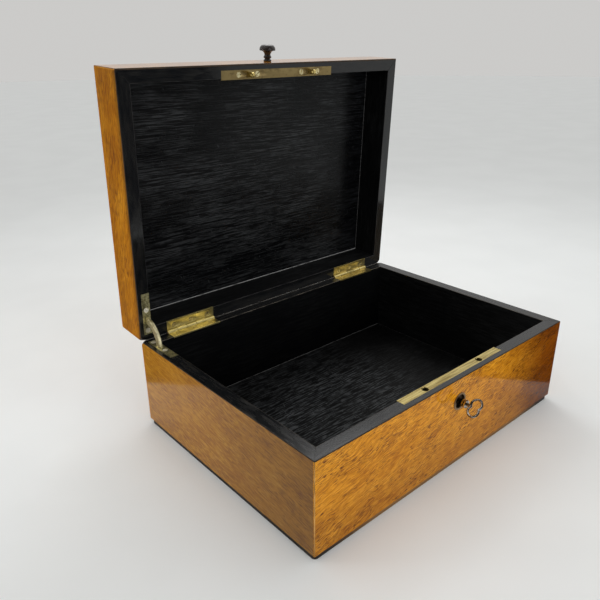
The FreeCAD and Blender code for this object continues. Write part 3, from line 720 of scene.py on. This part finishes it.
# The two hinges share one brass, painted lighter on the left and darker on the right: painted light and shade
hinge_colours = {
    "left": ((1.0, 0.85, 0.36), (0.48, 0.38, 0.12)),
    "right": ((0.80, 0.66, 0.28), (0.30, 0.24, 0.08)),
}
hinge_wear = {"tarnish_size": 11.0, "cover": (0.36, 0.78), "polish": (0.23, 0.38)}
arm_brass = metal("arm_brass", (0.92, 0.85, 0.56), (0.42, 0.37, 0.19), tarnish_size=7.0,
                  polish=(0.38, 0.54), along="Y")
stay_brass = metal("stay_brass", (0.76, 0.70, 0.38), (0.2, 0.18, 0.085), tarnish_size=4.0,
                   cover=(0.38, 0.62), polish=(0.34, 0.5), along="Y")
lock_brass = metal("lock_brass", (0.63, 0.515, 0.205), (0.30, 0.22, 0.075), tarnish_size=30.0,
                   cover=(0.38, 0.66), breadth=0.06)
link_brass = metal("link_brass", (0.32, 0.24, 0.105), (0.17, 0.125, 0.055), tarnish_size=12.0,
                   in_lid=True)
hook_brass = metal("hook_brass", (0.80, 0.64, 0.24), (0.40, 0.30, 0.10), tarnish_size=3.0, in_lid=True)
screw_brass = metal("screw_brass", (0.90, 0.80, 0.48), (0.60, 0.48, 0.20), tarnish_size=2.0,
                    polish=(0.2, 0.35))
# The stay screws are brass painted near white: painted highlight on their flat heads
stay_screw_glint_brass = metal("stay_screw_glint_brass", (0.98, 0.95, 0.82), (0.86, 0.80, 0.60), tarnish_size=2.0,
                         polish=(0.5, 0.62))
lock_steel = metal("lock_steel", (0.42, 0.41, 0.39), (0.2, 0.18, 0.16))
plate_metal = metal("plate_metal", (0.30, 0.21, 0.12), (0.07, 0.045, 0.025), tarnish_size=3.0,
                    cover=(0.1, 0.3), polish=(0.2, 0.4), ring=plate_rim)
key_steel = metal("key_steel", (0.60, 0.56, 0.50), (0.06, 0.05, 0.04), tarnish_size=4.0,
                  cover=(0.40, 0.58), polish=(0.05, 0.15), dented=0.1)

for side, colours in hinge_colours.items():
    hinge_brass = metal(f"{side}_hinge_brass", *colours, **hinge_wear)
    hinge_brass_lid = metal(f"{side}_hinge_brass_lid", *colours, **hinge_wear, in_lid=True)
    eased_metal(f"{side}_hinge_base_leaf", hinge_brass)
    eased_metal(f"{side}_hinge_lid_leaf", hinge_brass_lid)
    paint(f"{side}_hinge_pin", hinge_brass)
eased_metal("stay_base_plate", stay_brass)
eased_metal("stay_lid_plate", stay_brass)
eased_metal("stay_arm", arm_brass, arm_edge_width)
eased_metal("lock_plate", lock_brass)
eased_metal("link_plate", link_brass)
for node in ("hinge_base_screws", "hinge_lid_screws", "lock_screws", "link_plate_screws"):
    paint(node, screw_brass)
for node in ("stay_base_screws", "stay_lid_screws"):
    paint(node, stay_screw_glint_brass)
for node in ("lock_case", "lock_guide_posts", "lock_drill_pin", "lock_bolt", "lock_bolt_spring"):
    paint(node, lock_steel)
paint("escutcheon", plate_metal)
paint("key", key_steel)
paint("link_hooks", hook_brass)


# Stage

def floor():
    """A wide pale floor, a little darker far from the box."""
    material, tree, shader = new_material("floor_paper")
    place = add(tree, "TexCoord").outputs["Object"]
    fade = between(tree, vector_calc(tree, "LENGTH", place), *floor_fade, 1.0, floor_far_shade)
    mottle = mottled(tree, place, spots_per_metre=9.0, detail=3.0, least=0.97)
    shade = calc(tree, "MULTIPLY", mottle, fade)
    dress(tree, shader, Base_Color=washed(tree, shade, floor_colour), Roughness=0.6)
    form = bmesh.new()
    bmesh.ops.create_circle(form, cap_ends=True, segments=floor_corners, radius=floor_radius)
    new_object("floor", closed_mesh(form, "floor", (material,)))


def sky():
    """A pale dome, brighter overhead and behind the box, and dark on the camera's side."""
    world = bpy.data.worlds.new("dome")
    bpy.context.scene.world = world
    world.use_nodes = True
    tree = world.node_tree
    tree.nodes.clear()
    direction = add(tree, "TexCoord").outputs["Generated"]
    towards_camera = (math.sin(camera_azimuth), -math.cos(camera_azimuth), 0.0)
    facing = vector_calc(tree, "DOT_PRODUCT", direction, towards_camera)
    horizon = between(tree, facing, *back_to_front, back_light, front_light)
    overhead = between(tree, separated(tree, direction)[2], *horizon_to_zenith)
    level = add(tree, "Mix", {0: overhead, 2: horizon, 3: zenith_light}).outputs[0]
    backdrop = add(tree, "Background", {"Color": sky_colour, "Strength": level})
    add(tree, "OutputWorld", {"Surface": backdrop.outputs[0]})


def card(name, first, second, height, colour, paling=None):
    """An upright card between two points on the floor, seen only in reflections.

    Paling gives the parts of its length between which it turns pale, counted from the first point.
    """
    material, tree, shader = new_material(name)
    place = add(tree, "TexCoord").outputs["Object"]
    shade = mottled(tree, place, spots_per_metre=30.0, detail=2.0, least=0.8)
    if paling:
        start = Vector((*first, 0.0))
        run = Vector((*second, 0.0)) - start
        offset = vector_calc(tree, "SUBTRACT", place, start)
        reach = vector_calc(tree, "DOT_PRODUCT", offset, run / run.length_squared)
        colour = mixed(tree, between(tree, reach, *paling), colour, pale_card_colour)
    dress(tree, shader, Base_Color=washed(tree, shade, colour), Roughness=0.7)
    mesh = bpy.data.meshes.new(name)
    corners = [(*first, 0.0), (*second, 0.0), (*second, height), (*first, height)]
    mesh.from_pydata(corners, [], [(0, 1, 2, 3)])
    mesh.materials.append(material)
    made = new_object(name, mesh)
    made.visible_camera = False
    made.visible_diffuse = False
    made.visible_shadow = False


def lamp(name, place, aim, size, watts, spread=180.0):
    """A soft square lamp that faces a point, with its beam as wide as the spread in degrees."""
    data = bpy.data.lights.new(name, "AREA")
    data.size = size
    data.energy = watts
    data.spread = math.radians(spread)
    made = new_object(name, data)
    made.location = place
    made.rotation_euler = (Vector(aim) - Vector(place)).to_track_quat("-Z", "Y").to_euler()
    made.visible_camera = False


def camera():
    """The photograph's viewpoint."""
    outward = Vector((math.sin(camera_azimuth) * math.cos(camera_elevation),
                      -math.cos(camera_azimuth) * math.cos(camera_elevation),
                      math.sin(camera_elevation)))
    right = Vector((0.0, 0.0, 1.0)).cross(outward).normalized()
    up = outward.cross(right)
    turn = Matrix((right, up, outward)).transposed().to_4x4()
    data = bpy.data.cameras.new("camera")
    data.sensor_width = sensor_width
    data.lens = sensor_width * focal_pixels / photo_size
    data.clip_start = nearest_seen
    made = new_object("camera", data)
    made.matrix_world = (Matrix.Translation(camera_target + outward * camera_distance) @ turn
                         @ Matrix.Rotation(camera_roll, 4, "Z"))
    bpy.context.scene.camera = made


floor()
sky()
card("right_card", (0.335, 0.076), (0.095, -0.225), right_card_height, warm_card_colour,
     paling=(0.72, 0.98))
card("left_card", (-0.09, 0.286), (-0.335, -0.016), left_card_height, card_colour,
     paling=(0.4, 0.56))
card("dark_room", (-0.9, -0.34), (0.24, -0.34), room_height, room_colour)
lamp("front_lamp", (0.0, -3.0, 0.55), aim=(0.0, -0.1, 0.05), size=1.0, watts=3.85, spread=60.0)
lamp("left_lamp", (-0.75, 0.5, 0.32), aim=(-0.15, 0.13, 0.14), size=0.2, watts=0.1, spread=40.0)
lamp("top_lamp", (0.36, 0.5, 0.73), aim=(0.0, 0.0, 0.08), size=0.35, watts=1.2)
camera()
bpy.context.scene.view_settings.view_transform = "Standard"
